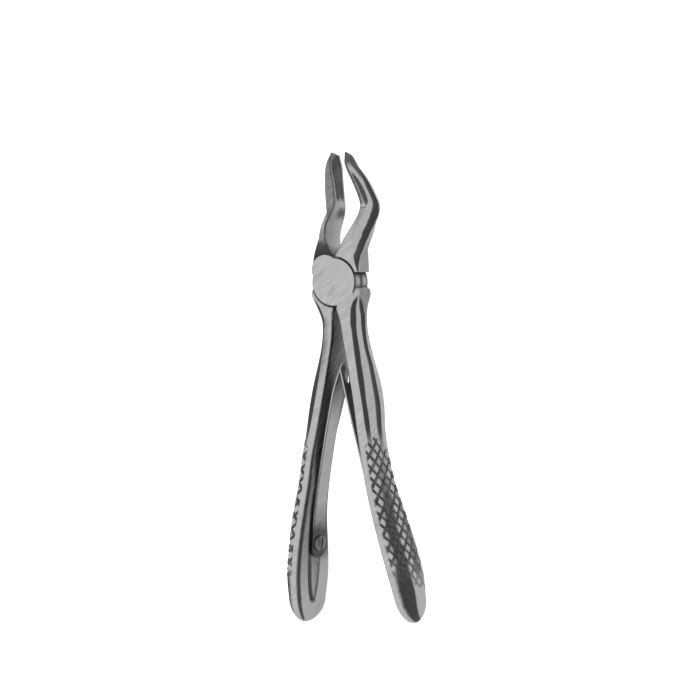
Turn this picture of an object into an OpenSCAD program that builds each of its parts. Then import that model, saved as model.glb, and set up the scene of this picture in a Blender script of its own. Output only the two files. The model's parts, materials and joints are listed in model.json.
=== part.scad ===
// Extraction forceps for upper molars, with a screwed lap joint and two leaf springs.
// +Z points out of the joint's front face, +Y towards the beak tips, and the halves turn about Z.
// The origin is on the pivot axis, at the middle of the joint's front face.

/* [Joint] */
// Thickness of the closed lap joint
joint_t = 7.8; // [7.4:0.1:8.4]
// Radius of the two lap discs
lap_r = 6.7; // [6.4:0.05:6.8]
// Gap around each lap disc, in the half that turns round it
lap_clearance = 0.15; // [0.1:0.05:0.2]
// Gap between the two lap faces
lap_gap = 0.04; // [0.02:0.02:0.08]

/* [Pivot screw] */
// Radius of the screw's plain shank
shank_r = 2.5; // [2:0.1:2.8]
// Radius of the screw's flat head
head_r = 3.9; // [3.6:0.1:4.4]
// Height of the screw's head
head_t = 1.6; // [1.2:0.1:1.9]
// Radial running clearance of the shank in the rear half
shank_clearance = 0.05; // [0.03:0.01:0.08]
// Depth of the screw hole into the front half, measured from the lap face
screw_reach = 2.8; // [2:0.1:3]

/* [Beaks] */
// Distance from the pivot to the beak tips
beak_reach = 35.7; // [34:0.1:38]
// Slant of the beak's tip, from its front corner to its back corner
tip_slant = 0.9; // [0.3:0.1:1]
// Depth of the hollow in the gripping face of each beak
beak_hollow = 0.5; // [0.2:0.1:0.7]

/* [Handles] */
// Distance from the pivot to the ends of the handles
handle_reach = 94; // [90:1:98]
// Length of the rounding at the end of each handle
handle_cap = 6; // [5:0.5:8]
// Width of the relief along the inner face, under the spring's tail
relief_w = 4.8; // [4.4:0.1:5]
// Depth of the relief
relief_depth = 0.6; // [0.4:0.1:0.8]

/* [Springs] */
// Thickness of each leaf spring
leaf_t = 0.55; // [0.4:0.05:0.6]
// Width of a spring at its free end
leaf_w = 6; // [5.6:0.1:6.4]
// Width of a spring under its screw
leaf_tail_w = 5.4; // [5.2:0.1:5.8]
// Distance from the pivot to the free end of the forked spring
fork_end = 23.8; // [23.6:0.1:25]
// Width of the slot between the fork's prongs
fork_slot_w = 3.2; // [2.8:0.1:3.4]
// Depth of the slot between the fork's prongs
fork_slot_depth = 4; // [3.5:0.5:6]
// Width of the tongue that lies between the prongs
tongue_w = 1.8; // [1.4:0.1:2.2]
// Radius of the bead at the end of the tongue
bead_r = 0.5; // [0.4:0.05:0.6]

/* [Spring screws] */
// Distance from the pivot to the screws that hold the springs
seat_reach = 71.8; // [70:0.2:73]
// Radius of the domed head
dome_r = 2.15; // [2:0.05:2.3]
// Height of the domed head
dome_h = 1.15; // [1:0.05:1.3]
// Radius of the screw's shank
seat_shank_r = 1.1; // [1:0.1:1.3]
// Length of the screw under its head
seat_shank_l = 4; // [3:0.5:4.5]

/* [Hidden] */
$fn = 48;
far = 40;
half_t = joint_t / 2;
// The forged sides stop just short of the lap's flat face.
forged = half_t - 0.05;
// Half of the gap between the halves in each V beside the joint
v_gap = 0.37;
ring_points = 26;
stations = 26;
// The lengths of beak and handle that their rows below are written for
rows_beak = 36;
rows_handle = 94;
screw_slot_w = 0.9;
screw_slot_depth = 0.7;
seat_hole_clearance = 0.02;
leaf_gap = 0.06;
dome_gap = 0.06;
// Distances from the pivot to the relief's ends, and the thickness of what it takes away
relief_start = 55;
relief_run_out = 9;
relief_end = 88.7;
relief_round = 14;
relief_cut = 3;
// How far behind the middle of the inner face the springs and their screws sit
seat_back = 1.3;
// Where each spring leaves the handle, where its tail ends, and where the tongue begins
leaf_leave = 64;
leaf_tail = 76;
taper_start = 28.5;
tongue_end = 22.2;
// Height of the springs' middle at their free ends, above the parting plane
leaf_mid_z = -1.3;
leaf_end_x = 0.4;

// Right beak: distance above the pivot, inner and outer X, front and back Z, boxiness, lean of
// the outer side from front to back, and twist of the section.
beak_rows = [
    [2.6, v_gap, 7.45, forged, -forged, 9, 0, 0],
    [7, v_gap, 7.2, forged, -forged, 8, 0.2, 0],
    [9, 1.4, 6.95, forged, -4.2, 6, 0.5, 3],
    [11.5, 2.25, 6.8, 3.4, -5, 5, 1.7, 7],
    [14, 3, 6.55, 1.7, -6.4, 4, 2.7, 9],
    [16.5, 3.55, 6.4, -0.5, -8.6, 3.6, 2.4, 9],
    [19, 3.7, 7, -3.3, -10.4, 3.2, 1.7, 8],
    [21.5, 3.55, 7.6, -4.9, -10.9, 3, 0.6, 6],
    [24, 3.2, 7.3, -4.4, -9.9, 3, 0.3, 6],
    [28, 2.5, 6.2, -2.3, -8, 3, 0.3, 6],
    [32.5, 1.85, 3.9, 0.5, -6, 3.4, 0.2, 6],
    [36, 1.6, 2.4, -0.4, -4.3, 4, 0.1, 4]
];

// Right handle: the same as for the beak, with distance below the pivot.
handle_rows = [
    [1.2, v_gap, 6.2, forged, -forged, 7, 0.4, 0],
    [2, v_gap, 7.3, forged, -forged, 7, 0.4, 0],
    [3.6, v_gap, 7.6, forged, -forged, 7, 0.4, 0],
    [7, v_gap, 6.4, forged, -forged, 6, 0.7, 0],
    [11, 1, 5.5, 2.9, -5.2, 5, 0.8, 1.5],
    [16, 1.4, 5.8, 2.4, -6.8, 4, 0.6, 3.5],
    [22, 2.3, 6.9, 2.4, -8.4, 3.6, 0.5, 5],
    [28, 3.2, 8.4, 2.6, -9.6, 3.2, 0.5, 6],
    [34, 4.3, 9.7, 2.9, -8.8, 3, 0.6, 6],
    [41, 5.6, 10.6, 3.5, -7.4, 2.8, 0.6, 5.5],
    [48, 6.9, 11.9, 4, -6.7, 2.6, 0.9, 6],
    [56, 8.1, 13.7, 4, -6.8, 2.4, 1.4, 7],
    [64, 9.6, 16, 3.8, -8.1, 2.3, 1.9, 8],
    [72, 11, 17.6, 3.1, -10.6, 2.3, 2.3, 10],
    [80, 12.4, 18.9, 1.8, -12.8, 2.3, 2.3, 11],
    [87, 13.6, 19.3, -0.2, -13.4, 2.3, 2, 11],
    [94, 14.5, 19.5, -2.8, -13.3, 2.3, 1.4, 11]
];

// A smooth curve through rows of numbers, read at distance s.
function span_of(rows, s, i = 0) =
    i >= len(rows) - 2 || rows[i + 1][0] >= s ? i : span_of(rows, s, i + 1);
function slope_at(rows, i) =
    let (a = max(i - 1, 0), b = min(i + 1, len(rows) - 1))
    (rows[b] - rows[a]) / (rows[b][0] - rows[a][0]);
function row_at(rows, s) =
    let (i = span_of(rows, s), a = rows[i], b = rows[i + 1], h = b[0] - a[0], t = (s - a[0]) / h)
    a * (1 + 2 * t) * (1 - t) * (1 - t) + slope_at(rows, i) * h * t * (1 - t) * (1 - t)
    + b * t * t * (3 - 2 * t) - slope_at(rows, i + 1) * h * t * t * (1 - t);
function mix(a, b, t) = a + (b - a) * t;

// A closed section between inner and outer X and between front and back Z. It is flat towards
// the other half, rounded and leaning outwards, and turned about its middle.
function section(inner, outer, front, back, boxy, lean, hollow, twist) = [
    for (i = [0:ring_points - 1])
        let (c = cos(360 * (i + 0.5) / ring_points), s = sin(360 * (i + 0.5) / ring_points),
             p = c < 0 ? 9 : boxy,
             r = pow(pow(abs(c), p) + pow(abs(s), p), -1 / p),
             side = c < 0 ? hollow * pow(1 - pow(r * s, 2), 2) : -lean * r * s * r * c,
             u = (outer - inner) / 2 * r * c + side, v = (front - back) / 2 * r * s)
        [(inner + outer) / 2 + u * cos(twist) + v * sin(twist),
         (front + back) / 2 - u * sin(twist) + v * cos(twist)]
];

// A solid skin over rings of points that all have the same length.
module skin(rings) {
    n = len(rings[0]);
    last = len(rings) - 1;
    points = [for (ring = rings) for (p = ring) p];
    sides = [for (k = [0:last - 1]) for (i = [0:n - 1]) for (tri = [0, 1])
        let (j = (i + 1) % n)
        tri == 0 ? [k * n + i, (k + 1) * n + j, k * n + j]
                 : [k * n + i, (k + 1) * n + i, (k + 1) * n + j]];
    ends = [[for (i = [0:n - 1]) i], [for (i = [n - 1:-1:0]) last * n + i]];
    polyhedron(points = points, faces = concat(sides, ends), convexity = 6);
}

module left_side() {
    mirror([1, 0, 0]) children();
}

// The beak is hollowed only along its gripping face, from the knee to near the tip.
hollow_start = 23.5;
hollow_end = 35;
function hollow_at(y) =
    let (t = (y - hollow_start) / (hollow_end - hollow_start))
    t < 0 || t > 1 ? 0 : beak_hollow * sin(180 * t);
function beak_ring(y, slant) =
    let (r = row_at(beak_rows, y))
    [for (p = section(r[1], r[2], r[3], r[4], r[5], r[6], hollow_at(y), r[7]))
        [p[0], (y + slant * (p[1] - r[3]) / (r[3] - r[4])) * beak_reach / rows_beak, p[1]]];
module right_beak() {
    base = beak_rows[0][0];
    top = beak_rows[len(beak_rows) - 1][0];
    // The rings are drawn from the tip to the base, so that the skin faces outwards.
    skin([for (k = [stations:-1:0])
        let (y = base + (top - base) * k / stations)
        beak_ring(y, tip_slant * pow(k / stations, 6))]);
}

// How much of its full size the handle's section has, at distance s: an elliptical end.
function cap_scale(s) =
    let (into = max(0, s - (rows_handle - handle_cap)) / handle_cap) sqrt(max(0, 1 - into * into));
function handle_ring(s) =
    let (r = row_at(handle_rows, s), k = cap_scale(s), x = (r[1] + r[2]) / 2, z = (r[3] + r[4]) / 2)
    [for (p = section(mix(x, r[1], k), mix(x, r[2], k), mix(z, r[3], k), mix(z, r[4], k),
                      r[5], r[6] * k, 0, r[7]))
        [p[0], -s * handle_reach / rows_handle, p[1]]];
module right_handle_blank() {
    base = handle_rows[0][0];
    straight = rows_handle - handle_cap;
    skin([for (k = [0:stations - 1]) handle_ring(base + (straight - base) * k / stations),
          for (a = [0:12:84]) handle_ring(straight + handle_cap * sin(a))]);
}

// Middle of the handle's inner face, sunk by a depth, and that face's height and twist.
function face_x(s, depth = 0) =
    let (r = row_at(handle_rows, s)) (r[1] + r[2]) / 2 - ((r[2] - r[1]) / 2 - depth) * cos(r[7]);
function face_z(s) =
    let (r = row_at(handle_rows, s)) (r[3] + r[4]) / 2 + (r[2] - r[1]) / 2 * sin(r[7]);
function face_twist(s) = row_at(handle_rows, s)[7];

// A flat strip's section, with its corners cut by c.
function strip_section(w, t, c) = [
    [t / 2, w / 2 - c], [t / 2 - c, w / 2], [c - t / 2, w / 2], [-t / 2, w / 2 - c],
    [-t / 2, c - w / 2], [c - t / 2, -w / 2], [t / 2 - c, -w / 2], [t / 2, c - w / 2]
];
function strip_ring(s, x, z, w, t, c, twist) = [
    for (p = strip_section(w, t, c))
        [x + p[0] * cos(twist) + p[1] * sin(twist), -s, z - p[0] * sin(twist) + p[1] * cos(twist)]
];

// The relief runs out gently at its upper end and narrows to a round lower end.
function relief_at(s) =
    mix(-0.1, relief_depth, min(1, (s - relief_start) / relief_run_out));
function relief_ring(s, w) =
    strip_ring(s, face_x(s, relief_at(s)) - relief_cut / 2, face_z(s), w, relief_cut, 0.3 * w / relief_w,
               face_twist(s));
module relief() {
    straight = relief_end - relief_round;
    steps = 12;
    skin([for (k = [0:steps]) relief_ring(mix(relief_start, straight, k / steps), relief_w),
          for (a = [10:10:80]) relief_ring(straight + relief_round * sin(a), relief_w * cos(a))]);
}

// The line on the inner face that the springs' middles follow.
function seat_x(s) = face_x(s) - seat_back * sin(face_twist(s));
function seat_z(s) = face_z(s) - seat_back * cos(face_twist(s));

// Puts its children at the spring's seat: +X into the handle, from its inner face.
module at_seat() {
    lean = atan((seat_x(seat_reach + 3) - seat_x(seat_reach - 3)) / 6);
    translate([seat_x(seat_reach), -seat_reach, seat_z(seat_reach)])
        rotate([0, 0, lean]) rotate([0, face_twist(seat_reach), 0]) children();
}

module right_handle() {
    difference() {
        right_handle_blank();
        relief();
        at_seat() rotate([0, 90, 0])
            translate([0, 0, -1]) cylinder(r = seat_shank_r + seat_hole_clearance, h = 1.3 + seat_shank_l);
    }
}

module in_place() {
    translate([0, 0, -half_t]) children();
}

module front_half() {
    color("lightsteelblue") in_place() difference() {
        union() {
            left_side() right_beak();
            right_handle();
            translate([0, 0, lap_gap / 2]) cylinder(r = lap_r, h = half_t - lap_gap / 2);
        }
        // Room for the rear half's lap disc
        translate([0, 0, -far]) cylinder(r = lap_r + lap_clearance, h = far + lap_gap / 2);
        // Hole that holds the pivot screw
        translate([0, 0, -1]) cylinder(r = shank_r + seat_hole_clearance, h = 1.1 + screw_reach);
    }
}

module rear_half() {
    color("silver") in_place() difference() {
        union() {
            right_beak();
            left_side() right_handle();
            translate([0, 0, -half_t]) cylinder(r = lap_r, h = half_t - lap_gap / 2);
        }
        // Room for the front half's lap disc
        translate([0, 0, -lap_gap / 2]) cylinder(r = lap_r + lap_clearance, h = far);
        // Bearing bore, and the counterbore for the screw's head
        translate([0, 0, -half_t - 1]) cylinder(r = shank_r + shank_clearance, h = joint_t);
        translate([0, 0, -half_t - 1])
            cylinder(r = head_r + 2 * shank_clearance, h = 1 + head_t + 3 * shank_clearance);
    }
}

module pivot_screw() {
    chamfer = 0.3;
    head_face = -half_t + 0.1;
    color("gainsboro") in_place() difference() {
        rotate_extrude() polygon([
            [0, head_face], [head_r - chamfer, head_face], [head_r, head_face + chamfer],
            [head_r, head_face + head_t - 0.05], [shank_r, head_face + head_t - 0.05],
            [shank_r, screw_reach - chamfer], [shank_r - chamfer, screw_reach], [0, screw_reach]]);
        translate([-far / 2, -screw_slot_w / 2, head_face - 1])
            cube([far, screw_slot_w, 1 + screw_slot_depth]);
    }
}

// The spring lies on the inner face under its screw, then bows away to its free end.
function leaf_run(s) = max(0, (leaf_leave - s) / (leaf_leave - fork_end));
function leaf_slope(s) = (seat_x(s + 1) - seat_x(s - 1)) / 2;
function leaf_x(s) =
    let (seat = seat_x(max(s, leaf_leave)) - leaf_t / 2 - leaf_gap,
         drop = max(0, leaf_leave - s) * leaf_slope(leaf_leave),
         bow = seat - (leaf_leave - fork_end) * leaf_slope(leaf_leave) - leaf_end_x)
    seat - drop - bow * pow(leaf_run(s), 1.5);
function leaf_free(s) = 1 - pow(1 - leaf_run(s), 3);
function leaf_z(s) = mix(seat_z(max(s, leaf_leave)), leaf_mid_z, leaf_free(s));
function leaf_twist(s) = mix(face_twist(max(s, leaf_leave)), 0, leaf_free(s));
function leaf_width(s) = mix(leaf_tail_w, leaf_w, min(1, leaf_run(s) * 1.5));
function leaf_ring(s, w) = strip_ring(s, leaf_x(s), leaf_z(s), w, leaf_t, 0.08, leaf_twist(s));

// A right-hand leaf from near its free end to its rounded tail, with the hole for its screw.
module leaf(first_rings, start) {
    round_len = 2.4;
    steps = 16;
    difference() {
        skin(concat(first_rings,
            [for (k = [0:steps])
                let (s = mix(start, leaf_tail - round_len, k / steps)) leaf_ring(s, leaf_width(s))],
            [for (a = [20:20:80])
                let (s = leaf_tail - round_len + round_len * sin(a))
                leaf_ring(s, leaf_width(s) * mix(cos(a), 1, 0.1))]));
        at_seat() rotate([0, 90, 0])
            translate([0, 0, -2]) cylinder(r = seat_shank_r + seat_hole_clearance, h = 4);
    }
}

module right_spring() {
    color("white") in_place() difference() {
        leaf([], fork_end);
        translate([-5, -fork_end - fork_slot_depth, leaf_mid_z - fork_slot_w / 2])
            cube([10, fork_slot_depth + 5, fork_slot_w]);
    }
}

// The other leaf narrows to a tongue with a bead, which lies between the prongs.
module left_spring() {
    color("white") in_place() left_side() union() {
        leaf([for (t = [0, 0.15, 0.3, 0.45, 0.6, 0.75, 0.9])
                let (s = mix(tongue_end, taper_start, t))
                leaf_ring(s, mix(tongue_w, leaf_w, (1 - cos(180 * max(0, t - 0.25) / 0.75)) / 2))],
             taper_start);
        translate([leaf_x(tongue_end), -tongue_end, leaf_mid_z]) sphere(r = bead_r);
    }
}

// A round-head screw: the dome stands on the leaf, and the shank goes into the handle.
module spring_screw() {
    under = -leaf_t - leaf_gap - dome_gap;
    difference() {
        rotate([0, 90, 0]) rotate_extrude() polygon(concat(
            [[0, seat_shank_l], [seat_shank_r, seat_shank_l], [seat_shank_r, under], [dome_r, under]],
            [for (a = [15:15:75]) [dome_r * cos(a), under - 0.25 - (dome_h - 0.25) * sin(a)]],
            [[0, under - dome_h]]));
        translate([under - dome_h - 1, -far / 2, -0.3]) cube([1.5, far, 0.6]);
    }
}

module right_spring_screw() {
    color("gray") in_place() at_seat() spring_screw();
}

module left_spring_screw() {
    color("gray") in_place() left_side() at_seat() spring_screw();
}

front_half();
rear_half();
pivot_screw();
right_spring();
left_spring();
right_spring_screw();
left_spring_screw();
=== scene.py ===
"""Looks for a pair of extraction forceps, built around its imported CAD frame.

The shapes are worked out in millimetres, with Z = 0 at the parting plane of the lap joint,
and turned into metres in the frame's own axes when each mesh is made.
Two coordinates are used on the forged parts: s, the distance from the pivot along a beak or
handle, and a, the distance round its section from the corner at the inner front edge.
"""
import functools
import json
import math
import bpy
import numpy as np
from mathutils import Matrix, Vector
from mathutils.kdtree import KDTree


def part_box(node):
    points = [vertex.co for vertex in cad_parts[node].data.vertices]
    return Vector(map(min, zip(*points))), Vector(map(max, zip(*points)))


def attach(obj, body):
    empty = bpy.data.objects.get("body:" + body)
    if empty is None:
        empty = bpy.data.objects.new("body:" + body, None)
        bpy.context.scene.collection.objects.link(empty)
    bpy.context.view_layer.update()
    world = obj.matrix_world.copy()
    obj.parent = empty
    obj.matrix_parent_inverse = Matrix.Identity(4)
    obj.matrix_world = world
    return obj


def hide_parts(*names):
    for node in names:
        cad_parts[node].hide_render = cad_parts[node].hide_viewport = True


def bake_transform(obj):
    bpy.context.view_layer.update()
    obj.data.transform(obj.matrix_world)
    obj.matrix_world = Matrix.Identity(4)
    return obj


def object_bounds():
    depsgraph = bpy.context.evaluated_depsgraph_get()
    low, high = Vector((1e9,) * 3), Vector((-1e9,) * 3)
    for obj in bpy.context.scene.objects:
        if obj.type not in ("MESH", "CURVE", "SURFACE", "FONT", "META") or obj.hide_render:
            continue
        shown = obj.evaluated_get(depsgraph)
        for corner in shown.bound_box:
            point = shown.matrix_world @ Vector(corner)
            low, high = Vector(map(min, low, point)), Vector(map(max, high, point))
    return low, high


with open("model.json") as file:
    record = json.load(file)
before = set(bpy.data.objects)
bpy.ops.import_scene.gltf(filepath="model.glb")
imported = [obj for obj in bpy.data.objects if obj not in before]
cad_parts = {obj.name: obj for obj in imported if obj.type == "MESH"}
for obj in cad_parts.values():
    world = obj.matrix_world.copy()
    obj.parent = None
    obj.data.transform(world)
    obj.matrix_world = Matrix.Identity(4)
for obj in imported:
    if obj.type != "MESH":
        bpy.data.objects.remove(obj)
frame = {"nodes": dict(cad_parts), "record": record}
cad_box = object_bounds()

# ---- dimensions, in millimetres ------------------------------------------------------------
MM = 0.001
mounts = {m["name"]: m for m in frame["record"]["mounts"]}
HALF_T = -mounts["joint_rear_face"]["pos_m"][2] / MM / 2
BEAK_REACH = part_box("front_half")[1].y / MM
HANDLE_REACH = -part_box("front_half")[0].y / MM
FLOOR_Z = cad_box[0][2]

LAP_R = 6.7          # radius of the lap discs
LAP_CLEARANCE = 0.15
LAP_GAP = 0.04
DISC_BEVEL = 0.22    # chamfer round a disc's outer face
MOUTH_FLARE = 0.35   # flare of the mouth of the room that a disc turns in
LOBE_R, LOBE_AT = 4.15, (-2.65, 3.45)    # lobe of the round face at the foot of the left beak
LEFT_BEAK_TOPS = (2.9, 2.7, 2.6, 2.6, 1.4)   # front Z of the left beak's first rows
SHANK_R, SHANK_REACH = 2.5, 2.8
SHANK_FIT, SHANK_CLEARANCE = 0.02, 0.05  # round the shank in the front half and in the rear half
HEAD_R, HEAD_T = 3.9, 1.6
HEAD_CLEARANCE, HEAD_ROOM = 0.1, 0.15    # round the screw's head, and above it
V_GAP = 0.37         # half of the gap between the halves in each V beside the joint
FORGED = HALF_T - 0.02

# Distance from the pivot, inner and outer X, front and back Z, boxiness, lean and twist.
BEAK_ROWS = [
    [2.6, V_GAP, 7.45, FORGED, -FORGED, 9, 0, 0],
    [7, V_GAP, 7.2, FORGED, -FORGED, 8, 0.2, 0],
    [9, 1.4, 6.95, FORGED, -4.2, 6, 0.5, 3],
    [11.5, 2.25, 6.8, 3.4, -5, 5, 1.7, 7],
    [14, 3, 6.55, 1.7, -6.4, 4, 2.7, 9],
    [16.5, 3.55, 6.4, -0.5, -8.6, 3.6, 2.4, 9],
    [19, 3.7, 7, -3.3, -10.4, 3.2, 1.7, 8],
    [21.5, 3.55, 7.6, -4.9, -10.9, 3, 0.6, 6],
    [24, 3.2, 7.3, -4.4, -9.9, 3, 0.3, 6],
    [28, 2.5, 6.2, -2.3, -8, 3, 0.3, 6],
    [32.5, 1.85, 3.9, 0.5, -6, 3.4, 0.2, 6],
    [36, 1.6, 2.4, -0.4, -4.3, 4, 0.1, 4],
]
HANDLE_ROWS = [
    [1.2, V_GAP, 6.2, FORGED, -FORGED, 7, 0.4, 0],
    [2, V_GAP, 7.3, FORGED, -FORGED, 7, 0.4, 0],
    [3.6, V_GAP, 7.6, FORGED, -FORGED, 7, 0.4, 0],
    [7, V_GAP, 6.4, FORGED, -FORGED, 6, 0.7, 0],
    [11, 1, 5.5, 2.9, -5.2, 5, 0.8, 1.5],
    [16, 1.4, 5.8, 2.4, -6.8, 4, 0.6, 3.5],
    [22, 2.3, 6.9, 2.4, -8.4, 3.6, 0.5, 5],
    [28, 3.2, 8.4, 2.6, -9.6, 3.2, 0.5, 6],
    [34, 4.3, 9.7, 2.9, -8.8, 3, 0.6, 6],
    [41, 5.6, 10.6, 3.5, -7.4, 2.8, 0.6, 5.5],
    [48, 6.9, 11.9, 4, -6.7, 2.6, 0.9, 6],
    [56, 8.1, 13.7, 4, -6.8, 2.4, 1.4, 7],
    [64, 9.6, 16, 3.8, -8.1, 2.3, 1.9, 8],
    [72, 11, 17.6, 3.1, -10.6, 2.3, 2.3, 10],
    [80, 12.4, 18.9, 1.8, -12.8, 2.3, 2.3, 11],
    [87, 13.6, 19.3, -0.2, -13.4, 2.3, 2, 11],
    [94, 14.5, 19.5, -2.8, -13.3, 2.3, 1.4, 11],
]
BEAK_END = BEAK_ROWS[-1][0]
HANDLE_END = HANDLE_ROWS[-1][0]
HANDLE_CAP = 6
TIP_SLANT = 0.9
BEAK_HOLLOW, HOLLOW_START, HOLLOW_END = 0.5, 23.5, 35
SECTION_POINTS = 240

# Flutes along the outer side of a handle, painted dark in place of their dark reflections: [s,
# first edge a, second edge a].
HANDLE_FLUTES = [
    [[3.6, 6.8, 7.1], [5.6, 5.3, 6.8], [9, 3.9, 6.1], [11.3, 3.15, 5.5], [13.6, 3.15, 5.1],
     [18.7, 2.9, 5.0], [22.8, 2.75, 4.6], [26.9, 2.65, 4.5], [32.4, 2.7, 4.15],
     [37.9, 2.75, 4.3], [42, 2.9, 4.2], [50, 3.1, 4.0]],
    [[3.6, 7.2, 7.5], [5.6, 7.75, 9.35], [9, 7.95, 10.0], [11.3, 7.5, 9.6], [13.6, 7.5, 9.5],
     [18.7, 7.7, 9.8], [22.8, 8.2, 10.7], [26.9, 8.0, 10.8], [32.4, 7.8, 10.8],
     [37.9, 7.4, 10.3], [42, 7.5, 9.8], [50, 7.6, 9.4]],
]
# The groove down the outer side of a beak, painted dark in place of its dark reflection, and the
# hollow beside its inner edge, painted dark for its shade.
BEAK_FLUTE = [[2, 6.9, 7.1], [4.5, 6.3, 7.6], [6, 5.9, 8.3], [8.8, 5.5, 9.2], [12.2, 5.85, 8.7],
              [15.7, 6.4, 9.4], [17.5, 5.6, 8.8], [19.1, 4.4, 7.7], [22.5, 3.85, 6.6],
              [26, 3.5, 6.1], [29.4, 3.6, 6.1], [32.2, 2.4, 5.0], [36, 1.4, 4.5]]
BEAK_ALMOND = [[20.4, 1.7, 2.1], [21.2, 1.45, 2.3], [22.5, 0.95, 2.9], [24.3, 0.75, 3.0],
               [26, 0.72, 2.9], [27.7, 0.78, 2.6], [29.4, 0.9, 2.0], [31, 1.1, 1.4]]
# The painted dark reflection down the outer side of a handle, through its knurl and its rounded
# end.
HANDLE_BAND = [[46, 6.2, 7.8], [60, 5.0, 8.2], [65.4, 4.2, 7.5], [70.9, 3.9, 7.7], [76.3, 4.2, 8.3],
               [80.5, 2.9, 8.3], [84.6, 2.6, 8.4], [87.3, 2.6, 8.1], [90, 2.6, 7.2],
               [94, 2.4, 5.4]]

FLUTE_DEPTH, BEAK_FLUTE_DEPTH, ALMOND_DEPTH = 0.24, 0.3, 0.22
# How much wider the rear half's first flute is: [s, by how much].
REAR_FLUTE_WIDER = [(3.6, 0), (5.6, 0.7), (9, 1.2), (13.6, 0.8), (27, 0.55), (42, 0.6)]

# Painted shade and painted dark reflections along the forged parts and the springs, (s, amount): 0
# is the light steel and 1 the dark.
FACE_FRONT_DARK = [(10, 0.5), (40, 0.6), (57, 0.65), (64, 0.5), (76, 0.32), (86, 0.08)]
FACE_REAR_DARK = [(10, 0.5), (24, 0.6), (38, 0.75), (47, 0.35), (61, 0.35), (65, 0.85),
                  (73.5, 0.85), (77.5, 0.1)]
RELIEF_FLOOR_DARK = [(58, 0.6), (74, 0.65), (80, 0.3), (86, 0.05)]
RELIEF_WALL_DARK = [(70, 0.7), (78, 0.95)]
BAND_DARK = [(45, 0), (52, 0.6), (60, 0.9), (66, 1), (92, 1)]
LEFT_BEAK_FOOT_DARK = [(8.5, 1), (10.5, 0.93), (13, 0.5), (16, 0.2), (18, 0)]
LEFT_BEAK_SIDE_DARK = [(14, 0), (17, 0.35), (19.5, 0.75), (22, 0.5), (30, 0.55), (34, 0.7)]
LEAF_DARK = [(24, 0.75), (29, 0.75), (34, 0.35), (38, 0.05), (60, 0.05), (65, 0.35), (68.5, 0.93)]
# painted shade on the handle's shoulder, beside the rear half's first flute, and along the handle's
# outer edge
SHOULDER_DARK, BESIDE_FLUTE_DARK, OUTER_EDGE_DARK = 0.45, 0.5, 0.72
FACE_EDGE_WIDTH = [(46, 0.5), (56, 1.15), (88, 1.15), (93, 0.8)]   # painted dark line along the inner front edge, (s, width)

BEAK_STATIONS, BEAK_KNEE = 200, 20.6
RIBS, RIB_DEPTH = 10, 0.16
TIP_ROOM = 0.08

KNURL_START, KNURL_STOP, KNURL_STEP = 42.0, 82.3, 0.17
KNURL_MIDDLE, KNURL_PROUD = 5.6, 0.1
KNURL_ALONG, KNURL_ACROSS = 3.66, 3.2
KNURL_DEPTH, KNURL_HALF = 0.5, 0.6
KNURL_MARGIN = 1.6   # plain strip between the inner edges and the knurl

RELIEF_START, RELIEF_RUN_OUT, RELIEF_END = 55.0, 9.0, 88.7
RELIEF_DEPTH, RELIEF_HALF, RELIEF_ROUND = 0.6, 2.4, 14.0

LEAF_T, LEAF_W, LEAF_TAIL_W = 0.55, 6.0, 5.4
LEAF_GAP = 0.06
LEAF_LEAVE, LEAF_TAIL = 64.0, 76.0
FORK_END, FORK_SLOT_W, FORK_SLOT_DEPTH = 23.8, 3.2, 4.0
TONGUE_END, TONGUE_W, TAPER_START, BEAD_R = 22.2, 1.8, 31.0, 0.5
LEAF_MID_Z, LEAF_END_X = -1.3, 0.4
SEAT_BACK = 1.3      # how far behind the middle of the inner face the springs lie


# ---- small helpers -------------------------------------------------------------------------
def smooth(x, low, high):
    """0 below low, 1 above high, and an even curve between them (low may be the larger)."""
    t = np.clip((x - low) / (high - low), 0, 1)
    return t * t * (3 - 2 * t)


def mix(a, b, t):
    return a + (b - a) * t


def read_rows(rows, s):
    """Rows of numbers read along a smooth curve at the distances s."""
    rows = np.asarray(rows, float)
    s = np.atleast_1d(np.asarray(s, float))
    x, last = rows[:, 0], len(rows) - 1
    i = np.clip(np.searchsorted(x, s) - 1, 0, last - 1)
    low, high = np.maximum(np.arange(last + 1) - 1, 0), np.minimum(np.arange(last + 1) + 1, last)
    slope = (rows[high] - rows[low]) / (x[high] - x[low])[:, None]
    a, b, h = rows[i], rows[i + 1], (x[i + 1] - x[i])[:, None]
    t = (s - x[i])[:, None] / h
    return (a * (1 + 2 * t) * (1 - t) ** 2 + slope[i] * h * t * (1 - t) ** 2
            + b * t * t * (3 - 2 * t) - slope[i + 1] * h * t * t * (1 - t))


def read_bands(bands, s):
    """First and second edge of a band, read along a smooth curve through its rows."""
    edges = read_rows(bands, np.clip(s, bands[0][0], bands[-1][0]))
    return edges[:, 1], edges[:, 2]


def groove(a, s, bands, depth, ends=2.0):
    """A rounded groove along a band: (how far it sinks, how strongly it is painted dark)."""
    first, second = read_bands(bands, s)
    u = (2 * a - (first + second)[:, None]) / (second - first)[:, None]
    fade = (smooth(s, bands[0][0], bands[0][0] + ends)
            * smooth(s, bands[-1][0], bands[-1][0] - ends))[:, None]
    inside = np.clip(1 - u * u, 0, 1)
    return depth * inside ** 1.5 * fade, smooth(np.abs(u), 1.15, 0.8) * smooth(
        s, bands[0][0], bands[0][0] + 0.6)[:, None] * fade ** 0.3


# ---- sections ------------------------------------------------------------------------------
# The angle runs from the inner front corner over the front, the outer side and the back.
ANGLE = np.radians(135 - 360 * (np.arange(SECTION_POINTS) + 0.5) / SECTION_POINTS)


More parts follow.
